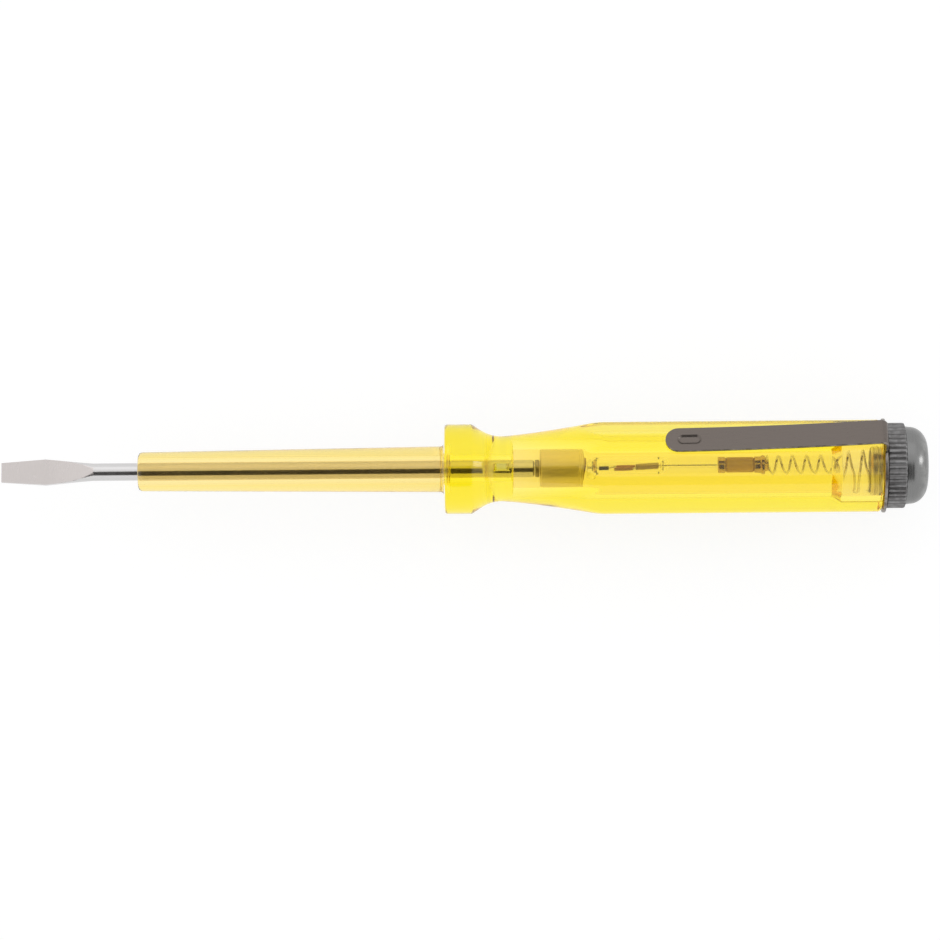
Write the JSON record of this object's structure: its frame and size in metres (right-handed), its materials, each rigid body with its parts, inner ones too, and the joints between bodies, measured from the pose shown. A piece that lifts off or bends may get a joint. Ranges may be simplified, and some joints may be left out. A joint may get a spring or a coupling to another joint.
{
  "type": "voltage tester screwdriver",
  "caption": "Slotted voltage tester screwdriver: clear hexagonal handle with neon lamp, resistor and contact spring in its bore, insulated shank, pocket clip and screw cap with touch contact.",
  "frame": {"origin": "centre of the blade tip's end face, on the tool's axis", "axes": "+X runs along the tool from the blade tip to the touch contact, +Z is square to one flat of the handle and to the blade's flats, +Y completes the right-handed frame"},
  "size_m": [0.19, 0.0192, 0.0228],
  "materials": {
    "blade_steel": "ground blade and plated shank",
    "sleeve_plastic": "clear, polished",
    "handle_plastic": "clear, polished",
    "dark_steel": "dark plating, satin",
    "cup_brass": "drawn",
    "lamp_glass": "clear",
    "coated_electrode": "matt coating",
    "dark_bead": "glassy",
    "brown_resin": "glazed",
    "nickel_cap": "nickel plated",
    "spring_steel": "bright wire",
    "knurled_metal": "knurled, nickel plated",
    "touch_metal": "turned, nickel plated"
  },
  "bodies": {
    "handle": {"handle_body": "handle_plastic", "insulation_sleeve": "sleeve_plastic", "blade_shank": "blade_steel", "contact_disc": "dark_steel", "contact_cup": "cup_brass", "lamp_base": "cup_brass", "lamp_glass": "lamp_glass", "lamp_front_bead": "dark_bead", "lamp_front_electrode": "coated_electrode", "lamp_rear_electrode": "coated_electrode", "lamp_rear_stem": "brown_resin", "resistor_core": "brown_resin", "resistor_front_cap": "nickel_cap", "resistor_rear_cap": "nickel_cap"},
    "spring": {"contact_spring": "spring_steel"},
    "cap": {"end_cap": "knurled_metal", "touch_contact": "touch_metal"},
    "clip": {"pocket_clip": "dark_steel"}
  },
  "joints": [
    {"name": "cap_travel", "type": "slide", "parent": "handle", "child": "spring", "axis": [1, 0, 0], "range_m": [0, 0.0024], "deforming": ["contact_spring"]},
    {"name": "cap_turn", "type": "hinge", "parent": "spring", "child": "cap", "pos_m": [0.1805, 0, 0], "axis": [1, 0, 0], "range_deg": [0, 720]},
    {"name": "clip_swivel", "type": "hinge", "parent": "handle", "child": "clip", "pos_m": [0.181, 0, 0], "axis": [1, 0, 0], "continuous": true}
  ],
  "couplings": [
    {"joint": "cap_travel", "follows": "cap_turn", "m_per_rad": 0.000159}
  ]
}
